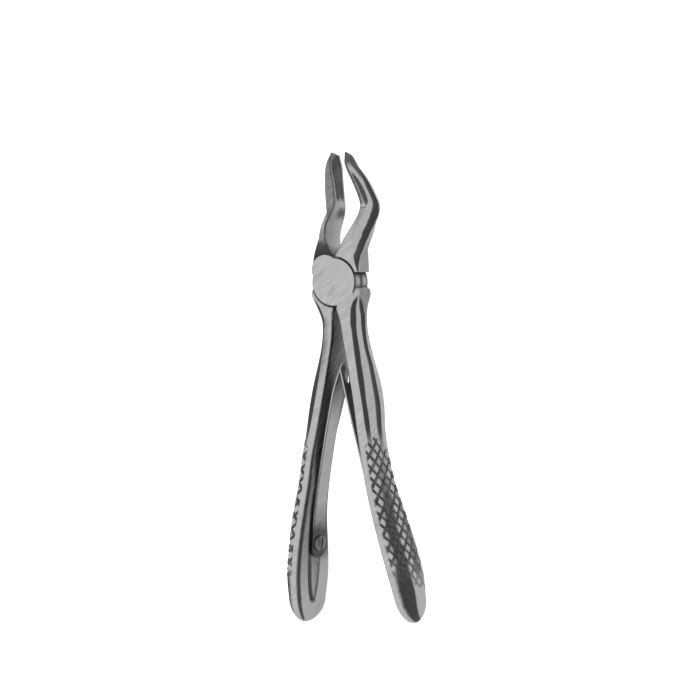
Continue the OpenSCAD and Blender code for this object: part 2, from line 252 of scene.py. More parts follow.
def sections(r, shrink=1.0, hollow=0.0):
    """X and Z of the sections described by the rows r."""
    inner, outer, front, back, boxy, lean, twist = (r[:, k:k + 1] for k in range(1, 8))
    shrink = np.reshape(shrink, (-1, 1)) * np.ones_like(inner)
    hollow = np.reshape(hollow, (-1, 1)) * np.ones_like(inner)
    c, s = np.cos(ANGLE)[None], np.sin(ANGLE)[None]
    p = np.where(c < 0, 9.0, boxy)
    q = (np.abs(c) ** p + np.abs(s) ** p) ** (-1 / p)
    side = np.where(c < 0, hollow * (1 - (q * s) ** 2) ** 2, -lean * shrink * q * s * q * c)
    u = (outer - inner) / 2 * shrink * q * c + side
    v = (front - back) / 2 * shrink * q * s
    turn = np.radians(twist)
    return ((inner + outer) / 2 + u * np.cos(turn) + v * np.sin(turn),
            (front + back) / 2 - u * np.sin(turn) + v * np.cos(turn))


def measure(x, z):
    """Outward normals of the sections, and the distance a round them."""
    tx, tz = np.roll(x, -1, 1) - np.roll(x, 1, 1), np.roll(z, -1, 1) - np.roll(z, 1, 1)
    size = np.hypot(tx, tz) + 1e-9
    step = np.hypot(np.diff(x, axis=1), np.diff(z, axis=1))
    a = np.concatenate([np.zeros((len(x), 1)), np.cumsum(step, axis=1)], axis=1)
    return -tz / size, tx / size, a


BACK_CORNER = SECTION_POINTS * 3 // 4   # index of the corner at the inner back edge


def face_x(s):
    """X of the middle of a handle's inner face."""
    r = read_rows(HANDLE_ROWS, s)
    return (r[:, 1] + r[:, 2]) / 2 - (r[:, 2] - r[:, 1]) / 2 * np.cos(np.radians(r[:, 7]))


def face_z(s):
    """Z of the same line."""
    r = read_rows(HANDLE_ROWS, s)
    return (r[:, 3] + r[:, 4]) / 2 + (r[:, 2] - r[:, 1]) / 2 * np.sin(np.radians(r[:, 7]))


def face_twist(s):
    return read_rows(HANDLE_ROWS, s)[:, 7]


# ---- meshes --------------------------------------------------------------------------------
def add_mesh(name, points, faces, shade=None):
    """A mesh object from points in millimetres, with the painted shade of each point."""
    mesh = bpy.data.meshes.new(name)
    points = np.asarray(points, float).reshape(-1, 3)
    placed = (points - np.array([0, 0, HALF_T])) * MM
    mesh.from_pydata(placed.tolist(), [], faces)
    mesh.update()
    obj = bpy.data.objects.new(name, mesh)
    bpy.context.scene.collection.objects.link(obj)
    if shade is not None:
        store_shade(mesh, np.ravel(shade))
    return obj


def store_shade(mesh, values):
    layer = mesh.attributes.get("shade") or mesh.attributes.new("shade", "FLOAT", "POINT")
    layer.data.foreach_set("value", np.asarray(values, np.float32))


def skin(name, rings, shade=None, flip=False):
    """A closed skin over rings of points, rings[k, i] = (x, y, z), with fans at its ends."""
    n, m = rings.shape[:2]
    k, i = np.meshgrid(np.arange(n - 1), np.arange(m), indexing="ij")
    j = (i + 1) % m
    quads = np.stack([k * m + i, k * m + j, (k + 1) * m + j, (k + 1) * m + i], -1).reshape(-1, 4)
    points = np.concatenate([rings.reshape(-1, 3), [rings[0].mean(0)], [rings[-1].mean(0)]])
    first, last = n * m, n * m + 1
    loop = np.arange(m)
    caps = ([[first, (q + 1) % m, q] for q in loop]
            + [[last, (n - 1) * m + q, (n - 1) * m + (q + 1) % m] for q in loop])
    faces = quads.tolist() + caps
    if flip:
        faces = [f[::-1] for f in faces]
    if shade is not None:
        shade = np.concatenate([np.ravel(shade), [shade[0].mean(), shade[-1].mean()]])
    return add_mesh(name, points, faces, shade)


def lathe(name, profile, count=192, centre=(0, 0)):
    """A solid of revolution about Z from (radius, z) pairs that start and end on the axis."""
    profile = np.asarray(profile, float)
    turn = 2 * np.pi * np.arange(count) / count
    body = profile[1:-1]
    rings = np.stack([centre[0] + body[:, :1] * np.cos(turn)[None],
                      centre[1] + body[:, :1] * np.sin(turn)[None],
                      body[:, 1:] * np.ones((1, count))], -1)
    n, m = rings.shape[:2]
    points = np.concatenate([rings.reshape(-1, 3), [[*centre, profile[0, 1]]],
                             [[*centre, profile[-1, 1]]]])
    faces = []
    for k in range(n - 1):
        for i in range(m):
            j = (i + 1) % m
            faces.append([k * m + i, k * m + j, (k + 1) * m + j, (k + 1) * m + i])
    for i in range(m):
        j = (i + 1) % m
        faces.append([n * m, j, i])
        faces.append([n * m + 1, (n - 1) * m + i, (n - 1) * m + j])
    return add_mesh(name, points, faces)


def boolean(obj, tool, operation):
    """Applies a boolean between two closed meshes and removes the tool."""
    kept = obj.data
    for solver in ("MANIFOLD", "EXACT"):
        mod = obj.modifiers.new("boolean", "BOOLEAN")
        mod.operation, mod.object, mod.solver = operation, tool, solver
        graph = bpy.context.evaluated_depsgraph_get()
        graph.update()
        made = bpy.data.meshes.new_from_object(obj.evaluated_get(graph))
        obj.modifiers.remove(mod)
        if len(made.polygons) > 100:
            break
        print("boolean", solver, "gave nothing for", obj.name, tool.name)
    obj.data = made
    bpy.data.meshes.remove(kept)
    bpy.data.objects.remove(tool)


def positions(obj):
    co = np.empty(len(obj.data.vertices) * 3)
    obj.data.vertices.foreach_get("co", co)
    return co.reshape(-1, 3) / MM + np.array([0, 0, HALF_T])


def shade_from(obj, sources):
    """Gives each point the painted shade of the nearest point among the sources."""
    points = np.concatenate([p for p, _ in sources])
    values = np.concatenate([v for _, v in sources])
    tree = KDTree(len(points))
    for k, p in enumerate(points):
        tree.insert(p, k)
    tree.balance()
    return np.array([values[tree.find(p)[1]] for p in positions(obj)])


# ---- forged beaks and handles --------------------------------------------------------------
def ramp(x, stops):
    """Straight steps between (x, value) pairs."""
    return np.interp(x, [k for k, _ in stops], [v for _, v in stops])


def darkest(*parts):
    """The greatest of several darkenings at each point."""
    return functools.reduce(np.maximum, parts)


def fluted(a, s, front):
    """How far the handle's flutes sink, the painted dark reflection in them, and the painted shade
    on the faces beside them. The rear half's first flute is wider, and its front face has painted
    shade beside it."""
    S = s[:, None]
    bands = [np.array(HANDLE_FLUTES[0]), np.array(HANDLE_FLUTES[1])]
    if not front:
        bands[0][:, 1] -= ramp(bands[0][:, 0], REAR_FLUTE_WIDER)
    fade = 1 - smooth(S, KNURL_START - 2, KNURL_START + 5)
    grooves = [groove(a, s, band, FLUTE_DEPTH) for band in bands]
    sink = sum(sink * fade for sink, _ in grooves)
    inside = read_bands(HANDLE_FLUTES[0], s)[0][:, None]
    outside = read_bands(HANDLE_FLUTES[1], s)[1][:, None]
    shade = darkest(
        *[dark * mix(0.3, 1, fade) for _, dark in grooves],
        SHOULDER_DARK * smooth(a, outside - 0.3, outside + 0.2) * smooth(S, 15, 8))
    if not front:
        shade = darkest(shade, BESIDE_FLUTE_DARK * smooth(a, inside - 2.8, inside - 0.6)
                        * smooth(S, 8, 11) * smooth(S, 30, 20) * (a < inside + 1))
    return sink, shade


def knurled(a, s, back):
    """Two families of V grooves that cross in diamonds: how far they rise, and the painted shade in
    the grooves.
    """
    S = s[:, None]
    start = KNURL_START + 0.75 * np.abs(a - KNURL_MIDDLE)
    stop = KNURL_STOP + 0.35 * (a - KNURL_MIDDLE)
    zone = (smooth(S, start, start + 0.5) * smooth(S, stop, stop - 0.5)
            * smooth(a, KNURL_MARGIN, KNURL_MARGIN + 0.5)
            * smooth(a, back - KNURL_MARGIN, back - KNURL_MARGIN - 0.5)
            * ramp(S, [(76, 1), (KNURL_STOP + 2.5, 0.5)]))
    across = (a - back / 2) / KNURL_ACROSS
    spacing = 1 / math.hypot(1 / KNURL_ACROSS, 1 / KNURL_ALONG)
    cut = np.zeros_like(a)
    for way in (1, -1):
        phase = across + way * S / KNURL_ALONG
        off = np.abs(phase - np.round(phase)) * spacing
        cut = np.maximum(cut, np.clip(1 - off / KNURL_HALF, 0, 1))
    # the painted shade in the grooves varies a little along the knurl
    knurl_shade_unevenness = 0.9 + 0.1 * np.sin(1.7 * a + 0.9 * S) * np.sin(0.8 * S - 1.1 * a)
    return zone * (KNURL_PROUD - KNURL_DEPTH * cut), zone * smooth(cut, 0.0, 0.55) * knurl_shade_unevenness


def banded(a, s):
    """The painted dark reflection through the knurl and the rounded end, and painted shade along
    the outer edge beside it.
    """
    S = s[:, None]
    first, second = (edge[:, None] for edge in read_bands(HANDLE_BAND, s))
    band = smooth(a, first - 1.2, first + 0.3) * smooth(a, second + 0.6, second - 0.3)
    blotch = 0.5 + 0.5 * np.sin(2.6 * S + 1.3 * a) * np.sin(1.1 * S - 2.2 * a + 1)
    uneven = 0.14 * blotch * smooth(S, KNURL_STOP + 2, KNURL_STOP - 4)
    outer_edge = smooth(a, 10.2, 12) * smooth(a, 15, 13) * smooth(S, 44, 50) * smooth(S, 84, 78)
    return darkest(band * ramp(S, BAND_DARK) * (1 - uneven), OUTER_EDGE_DARK * outer_edge)


def inner_face(a, s, back, total):
    """The relief under the spring, and the painted shade on the handle's inner face: heavy between
    the handles near the joint and light further down, with a painted shadow from the relief's front
    wall and painted dark lines along its rear wall and the inner front edge."""
    S = s[:, None]
    w = a - (back + total) / 2     # across the face, from its middle
    run_out = np.clip((S - RELIEF_START) / RELIEF_RUN_OUT, 0, 1)
    depth = np.clip(mix(-0.1, RELIEF_DEPTH, run_out), 0, None)
    round_part = np.clip(S - (RELIEF_END - RELIEF_ROUND), 0, None) / RELIEF_ROUND
    half = RELIEF_HALF * np.sqrt(np.clip(1 - round_part ** 2, 0, 1))
    within = smooth(np.abs(w), half + 0.2, half - 0.2) * smooth(half, 0.05, 0.5) * (S < RELIEF_END)
    face = mix(ramp(S, FACE_REAR_DARK), ramp(S, FACE_FRONT_DARK), smooth(w, -0.5, 0.5))
    face = mix(face, ramp(S, RELIEF_FLOOR_DARK), within * (depth > 0.05))
    cut_in = (depth > 0.05) * (S < RELIEF_END + 0.2)
    # painted shadow of the relief's front wall, over the wall and the floor beside it
    wall_from = half - 1.9 * depth - 1.0
    front_wall = (smooth(w, wall_from - 0.2, wall_from + 0.2) * smooth(w, half + 0.3, half + 0.1)
                  * smooth(half, 0.2, 0.9))
    rear_wall = smooth(np.abs(w + half + 0.1), 0.35, 0.15) * smooth(half, 0.1, 0.5)
    edge_w = ramp(S, FACE_EDGE_WIDTH)
    edge = (smooth(total - a, edge_w + 0.2, edge_w - 0.1) * smooth(S, 8, 12)
            * smooth(total, 9, 16))
    return depth * within, darkest(face, ramp(S, RELIEF_WALL_DARK) * cut_in * front_wall,
                                   0.8 * cut_in * rear_wall, 0.95 * edge)


def handle_rings(front):
    """Right handle: rings of points and their painted shade and painted reflections."""
    straight = HANDLE_END - HANDLE_CAP
    s = np.concatenate([
        np.arange(HANDLE_ROWS[0][0], KNURL_START - 1, 0.4),
        np.arange(KNURL_START - 1, KNURL_STOP + 1, KNURL_STEP),
        np.arange(KNURL_STOP + 1, straight, 0.3),
        straight + HANDLE_CAP * np.sin(np.radians(np.arange(0, 88.5, 3)))])
    shrink = np.sqrt(1 - np.clip((s - straight) / HANDLE_CAP, 0, 1) ** 2)
    x, z = sections(read_rows(HANDLE_ROWS, s), shrink)
    nx, nz, a = measure(x, z)
    back = a[:, BACK_CORNER:BACK_CORNER + 1]
    total = a[:, -1:]
    S = s[:, None]
    inner = a > back

    flute_sink, flute_dark = fluted(a, s, front)
    knurl_rise, knurl_dark = knurled(a, s, back)
    relief_sink, face_dark = inner_face(a, s, back, total)
    move = np.where(inner, -relief_sink, knurl_rise - flute_sink)
    shade = np.where(inner, face_dark, darkest(flute_dark, knurl_dark, banded(a, s)))
    # painted dark line on the other side of the inner front edge
    shade = darkest(shade, 0.6 * smooth(a, 0.3, 0.1) * ~inner * smooth(S, 7, 9))

    x, z = x + nx * move, z + nz * move
    y = -S * HANDLE_REACH / HANDLE_END * np.ones_like(x)
    return np.stack([x, y, z], -1), shade


def gripping_face(w, width, S):
    """Ribs along a beak's gripping face, inside a bright rim: how far they sink, and the painted
    shade on the face, which varies across the ribs, with more painted shade at the knee and at the
    foot.
    """
    pitch = width / RIBS
    rib = np.abs(w / pitch - np.round(w / pitch)) * 2
    ragged = 22.6 + 0.6 * np.cos(w * 2.4) + 0.5 * np.cos(w * 6.1) + 1.4 * (2 * w / width) ** 2
    grip = smooth(S, ragged, ragged + 0.9) * smooth(np.abs(w), width / 2 - 0.45, width / 2 - 0.7)
    knee = smooth(np.abs(S - 19.3), 2.6, 0.3) * smooth(w, 2.6, -1.0)
    foot = smooth(S, 10.5, 7.5)
    return (RIB_DEPTH * grip * smooth(rib, 0.25, 0.8),
            darkest(grip * mix(0.85, 0.5, smooth(rib, 0.2, 0.8)), 0.8 * knee, 0.75 * foot))


def beak_rings(rows, front):
    """Right beak: rings of points and their painted shade and painted reflections. The front half's
    beak has no groove and has painted shade where it drops behind the joint's round face."""
    base = rows[0][0]
    s = base + (BEAK_END - base) * np.linspace(0, 1, BEAK_STATIONS)
    into = (s - HOLLOW_START) / (HOLLOW_END - HOLLOW_START)
    hollow = np.where((into > 0) & (into < 1), BEAK_HOLLOW * np.sin(np.pi * into), 0)
    r = read_rows(rows, s)
    x, z = sections(r, 1.0, hollow)
    nx, nz, a = measure(x, z)
    back = a[:, BACK_CORNER:BACK_CORNER + 1]
    total = a[:, -1:]
    S = s[:, None]
    inner = a > back
    outer = ~inner

    if front:
        sink = np.zeros_like(a)
        # painted shade at the foot behind the joint's round face, along the outer side and on the
        # tip
        shade = darkest(outer * ramp(S, LEFT_BEAK_FOOT_DARK), outer * ramp(S, LEFT_BEAK_SIDE_DARK),
                        0.7 * smooth(S, 34.4, 35.2))
    else:
        flute, flute_dark = groove(a, s, BEAK_FLUTE, BEAK_FLUTE_DEPTH, 1.0)
        outside = read_bands(BEAK_FLUTE, s)[1][:, None]
        almond, _ = groove(a, s, BEAK_ALMOND, ALMOND_DEPTH)
        sink = flute * smooth(S, 33, 29) * smooth(S, 3, 6) + almond
        knee_crease = smooth(np.abs(S - BEAK_KNEE), 0.3, 0.12) * smooth(a, 2.2, 1.6)
        # painted dark reflection in the groove, and painted shade on the shoulder, in the hollow,
        # along the inner edge, at the knee crease, beside the tip and on the tip
        shade = darkest(
            flute_dark,
            0.35 * smooth(a, outside, outside + 0.6) * smooth(S, 14, 8),
            0.93 * smooth(almond, 0.0, 0.16),
            0.78 * outer * smooth(a, 1.2, 0.7) * smooth(S, BEAK_KNEE, 22.5),    # painted shade along the inner edge
            0.7 * outer * knee_crease,
            0.92 * outer * smooth(a, 2.6, 3.6) * smooth(S, 28, 30.5),           # painted shade beside the tip
            0.85 * smooth(S, 31.4, 33.5))                                       # painted shade on the tip
    width = total - back
    rib_sink, face_dark = gripping_face(a - (back + total) / 2, width, S)
    sink = np.where(inner, rib_sink, sink)
    shade = np.where(inner, face_dark, shade)
    # painted dark lines on both sides of the inner front edge
    front_line = smooth(a, 0.42, 0.2) * smooth(S, 8, 10) * (1 if front else smooth(S, 21, 19))
    rim_line = smooth(total - a, 0.3, 0.1) * smooth(S, 8, 10) * smooth(S, 19, 17.5)
    shade = darkest(shade, 0.9 * outer * front_line, 0.7 * inner * rim_line)

    # the tips stand back by a hair, so that they just miss each other when the beaks are closed
    x, z = x - nx * sink + TIP_ROOM * smooth(S, 33, 34.3), z - nz * sink
    top, bottom = r[:, 3:4], r[:, 4:5]
    slant = TIP_SLANT * ((S - base) / (BEAK_END - base)) ** 6
    y = (S + slant * (z - top) / (top - bottom)) * BEAK_REACH / BEAK_END
    return np.stack([x, y, z], -1), shade


def mirrored(rings):
    return rings * np.array([-1, 1, 1])


def forging(name, front):
    """One half: its beak, its handle and its lap disc. The front half has the left beak."""
    side = 1 if front else -1
    rows = [list(r) for r in BEAK_ROWS]
    if front:
        for r, z in zip(rows, LEFT_BEAK_TOPS):
            r[3] = z
    beak, beak_shade = beak_rings(rows, front)
    handle, handle_shade = handle_rings(front)
    # beak rings run towards +Y and handle rings towards -Y, so their windings differ
    if front:
        beak = mirrored(beak)
    else:
        handle = mirrored(handle)
    obj = skin(name, handle, handle_shade, flip=not front)
    boolean(obj, skin(name + "_beak", beak, beak_shade, flip=not front), "UNION")

    # lap disc, with a chamfer round its outer face
    disc_r, bevel = LAP_R - 0.05, DISC_BEVEL
    wall = [(disc_r, z) for z in (LAP_GAP / 2, 0.3, 0.8, 1.4, 2.0, 2.6, 3.1, HALF_T - bevel)]
    profile = [(0, LAP_GAP / 2), *wall,
               (disc_r - bevel + 0.05, HALF_T - 0.05), (disc_r - bevel, HALF_T), (0, HALF_T)]
    if not front:
        profile = [(r, -z) for r, z in profile][::-1]
    boolean(obj, lathe(name + "_disc", profile), "UNION")
    if front:
        # the round face runs on into a lobe at the foot of the left beak
        low, high = 0.5, HALF_T - 0.01
        boolean(obj, lathe(name + "_lobe", [(0, low), (LOBE_R, low), (LOBE_R, HALF_T - 0.25),
                                            (LOBE_R - 0.2, high), (0, high)],
                           centre=LOBE_AT), "UNION")
    # room for the other half's disc, flared at its mouth
    cut_r, flare, far = LAP_R + LAP_CLEARANCE, MOUTH_FLARE, 30
    profile = [(0, -LAP_GAP / 2), (cut_r, -LAP_GAP / 2), (cut_r, HALF_T - flare),
               (cut_r + flare + 0.1, HALF_T + 0.1), (cut_r + flare + 0.1, far), (0, far)]
    if front:
        profile = [(r, -z) for r, z in profile][::-1]
    boolean(obj, lathe(name + "_room", profile), "DIFFERENCE")
    if front:
        bore = SHANK_R + SHANK_FIT
        boolean(obj, lathe(name + "_bore", [(0, -1), (bore, -1), (bore, SHANK_REACH),
                                            (0, SHANK_REACH)], 64), "DIFFERENCE")
    else:
        bore, mouth = SHANK_R + SHANK_CLEARANCE, HEAD_R + HEAD_CLEARANCE
        shoulder = -HALF_T + HEAD_T + HEAD_ROOM
        boolean(obj, lathe(name + "_bore", [
            (0, -HALF_T - 1), (mouth + 0.3, -HALF_T - 0.1), (mouth, -HALF_T + 0.2),
            (mouth, shoulder), (bore, shoulder), (bore, 1), (0, 1)], 96), "DIFFERENCE")

    values = shade_from(obj, [(beak.reshape(-1, 3), beak_shade.ravel()),
                              (handle.reshape(-1, 3), handle_shade.ravel())])
    p = positions(obj)
    radius = np.hypot(p[:, 0], p[:, 1])
    level = p[:, 2] * side
    # painted shade on the lap's walls, lighter in the middle of the open notch beside the joint
    lap_wall = (np.abs(radius - LAP_R) < 0.3) & (np.abs(p[:, 2]) < HALF_T - 0.04)
    notch = smooth(p[:, 0], 5.6, 6.2) * smooth(np.abs(p[:, 1] - 0.2), 2.0, 0.4)
    rim = smooth(np.abs(np.abs(p[:, 2]) - HALF_T / 2), 1.6, 0.7)
    values = np.where(lap_wall, 0.95 * (1 - 0.85 * notch * rim), values)
    # the round face and the flared mouths of the rooms are kept light, clear of painted shade
    values = np.where((np.abs(level - HALF_T) < 0.03) & (radius < 9.5), 0.0, values)
    mouth = (radius > LAP_R + LAP_CLEARANCE - 0.03) & (radius < LAP_R + 0.75)
    values = np.where(mouth & (np.abs(p[:, 2] + side * HALF_T) < flare + 0.02), 0.0, values)
    store_shade(obj.data, values)
    return finish_mesh(obj, sharp_angle=34, sharp_within=7.9)


def finish_mesh(obj, sharp_angle, sharp_within=None):
    """Smooth shading, with edges over the angle kept sharp, but only near the pivot if a
    distance is given: the forged shapes further out are all rounded."""
    mesh = obj.data
    mesh.polygons.foreach_set("use_smooth", np.ones(len(mesh.polygons), bool))
    mesh.set_sharp_from_angle(angle=math.radians(sharp_angle))
    layer = mesh.attributes.get("sharp_edge")
    if sharp_within and layer:
        radius = np.hypot(*positions(obj)[:, :2].T)
        ends = np.empty(len(mesh.edges) * 2, np.int32)
        mesh.edges.foreach_get("vertices", ends)
        sharp = np.empty(len(mesh.edges), bool)
        layer.data.foreach_get("value", sharp)
        near = (radius[ends.reshape(-1, 2)] < sharp_within).all(1)
        layer.data.foreach_set("value", sharp & near)
    mesh.update()
    return obj


# ---- springs -------------------------------------------------------------------------------
def seat_line(s):
    """X and Z of the line on the inner face that the springs' middles follow."""
    turn = np.radians(face_twist(s))
    return face_x(s) - SEAT_BACK * np.sin(turn), face_z(s) - SEAT_BACK * np.cos(turn)


def leaf_run(s):
    return np.clip((LEAF_LEAVE - np.atleast_1d(s)) / (LEAF_LEAVE - FORK_END), 0, None)


def leaf_x(s):
    """The leaf lies on the inner face under its screw and bows away to its free end."""
    s = np.atleast_1d(np.asarray(s, float))
    seat = seat_line(np.maximum(s, LEAF_LEAVE))[0] - LEAF_T / 2 - LEAF_GAP
    slope = (seat_line([LEAF_LEAVE + 1])[0] - seat_line([LEAF_LEAVE - 1])[0]) / 2
    bow = seat - (LEAF_LEAVE - FORK_END) * slope - LEAF_END_X
    return seat - np.maximum(0, LEAF_LEAVE - s) * slope - bow * leaf_run(s) ** 1.5


def leaf_free(s):
    return 1 - (1 - leaf_run(s)) ** 3


def leaf_z(s):
    return mix(seat_line(np.maximum(s, LEAF_LEAVE))[1], LEAF_MID_Z, leaf_free(s))


def leaf_twist(s):
    return face_twist(np.maximum(s, LEAF_LEAVE)) * (1 - leaf_free(s))


def leaf_width(s):
    return mix(LEAF_TAIL_W, LEAF_W, np.clip(leaf_run(s) * 1.5, 0, 1))


def strip(name, s, width, flip):
    """A strip with slightly rounded corners along the leaf's path. Its edges are left light between
    fine painted dark lines, and it has painted shade round its screw and at its free end."""
    bevel = 0.11
    arc = np.radians([0, 30, 60, 90])
    x, z, twist = leaf_x(s), leaf_z(s), np.radians(leaf_twist(s))
    # one corner of the section: X, Z from the corner's centre, and its painted shade
    cx = np.concatenate([[LEAF_T / 2] * 2, LEAF_T / 2 - bevel + bevel * np.cos(arc)])
    cz = np.concatenate([[-0.34, -0.14], bevel * np.sin(arc)])
    dark = np.array([np.nan, 0.9, 0.9, 0.85, 0.35, 0.0])
    least = 0.02 * np.arange(1, len(cx) + 1)
    reach = np.maximum(np.maximum(width / 2 - bevel, 0)[:, None] + cz, least)
    px = np.concatenate([cx, -cx[::-1], -cx, cx[::-1]])[None] * np.ones((len(s), 1))
    pz = np.concatenate([reach, reach[:, ::-1], -reach, -reach[:, ::-1]], 1)
    broad = ramp(s, LEAF_DARK)
    shade = np.concatenate([dark, dark[::-1], dark, dark[::-1]])[None] * np.ones((len(s), 1))
    shade = np.where(np.isnan(shade), broad[:, None], shade)
    # painted shade round the screw
    shade = np.maximum(shade, smooth(s, 66, 69)[:, None] * 0.9)
    ring = np.stack([x[:, None] + px * np.cos(twist)[:, None] + pz * np.sin(twist)[:, None],
                     -s[:, None] * np.ones_like(px),
                     z[:, None] - px * np.sin(twist)[:, None] + pz * np.cos(twist)[:, None]], -1)
    return skin(name, ring, shade, flip)


def leaf_stations(first):
    """Stations from the free end's own to the rounded tail, and the leaf's width at each."""
    tail_round = 2.4
    s = np.concatenate([first, np.arange(first[-1] + 0.4, LEAF_TAIL - tail_round, 0.4),
                        LEAF_TAIL - tail_round * (1 - np.sin(np.radians(np.arange(0, 88, 6))))])
    into = np.clip((s - (LEAF_TAIL - tail_round)) / tail_round, 0, 1)
    return s, leaf_width(s) * np.sqrt(1 - into ** 2 * 0.995)


def right_leaf():
    """The forked leaf: a slot with a rounded foot between two prongs."""
    s, width = leaf_stations(FORK_END + 0.35 * (1 - np.cos(np.radians(np.arange(0, 91, 15)))))
    obj = strip("right_leaf", s, width, flip=True)
    reach = FORK_SLOT_DEPTH - FORK_SLOT_W / 2
    turn = np.radians(np.arange(0, 181, 12))
    outline = np.concatenate([
        np.stack([-FORK_END - reach - FORK_SLOT_W / 2 * np.sin(turn),
                  FORK_SLOT_W / 2 * np.cos(turn)], -1),
        [[-FORK_END + 5, -FORK_SLOT_W / 2], [-FORK_END + 5, FORK_SLOT_W / 2]]])
    rings = np.stack([np.stack([np.full(len(outline), x), outline[:, 0],
                                LEAF_MID_Z + outline[:, 1]], -1) for x in (-4.0, 6.0)])
    boolean(obj, skin("fork_slot", rings), "DIFFERENCE")
    return finish_mesh(obj, 40)


def left_leaf():
    """The leaf with a tongue that ends in a bead."""
    t = np.linspace(0, 1, 28)
    narrow = mix(LEAF_W, TONGUE_W, (1 - t) ** 1.6)
    s, width = leaf_stations(mix(TONGUE_END, TAPER_START, t))
    width[:len(narrow)] = narrow
    obj = strip("left_leaf", s, width, flip=False)
    for v in obj.data.vertices:
        v.co.x = -v.co.x
    obj.data.flip_normals()
    angle = np.radians(np.arange(-90, 91, 15))
    bead = lathe("bead", [(BEAD_R * max(math.cos(q), 0), BEAD_R * math.sin(q)) for q in angle], 32)
    at = Vector((-leaf_x([TONGUE_END])[0], -TONGUE_END, LEAF_MID_Z)) * MM
    for v in bead.data.vertices:
        v.co += at
    boolean(obj, bead, "UNION")
    return finish_mesh(obj, 40)


# ---- materials -----------------------------------------------------------------------------
def nodes_of(material):
    material.use_nodes = True
    tree = material.node_tree
    tree.nodes.clear()
    return tree


def link_new(tree, kind, operation=None, **inputs):
    node = tree.nodes.new(kind)
    if operation:
        node.operation = operation
    for key, value in inputs.items():
        by_number = key[0] == "i" and key[1:].isdigit()
        socket = node.inputs[int(key[1:]) if by_number else key.replace("_", " ")]
        if isinstance(value, bpy.types.NodeSocket):
            tree.links.new(value, socket)
        else:
            socket.default_value = value
    return node


def math_node(tree, operation, first, second):
    return link_new(tree, "ShaderNodeMath", operation, i0=first, i1=second).outputs[0]


HATCHING = 3.5       # how strongly the grinding marks hatch half-strength painted shade
MARK_SLANT = 47      # degrees
MARKS_ALONG, MARKS_ACROSS, PATCHES, GRAIN = 190.0, 1500.0, 110.0, 3500.0   # sizes, per metre


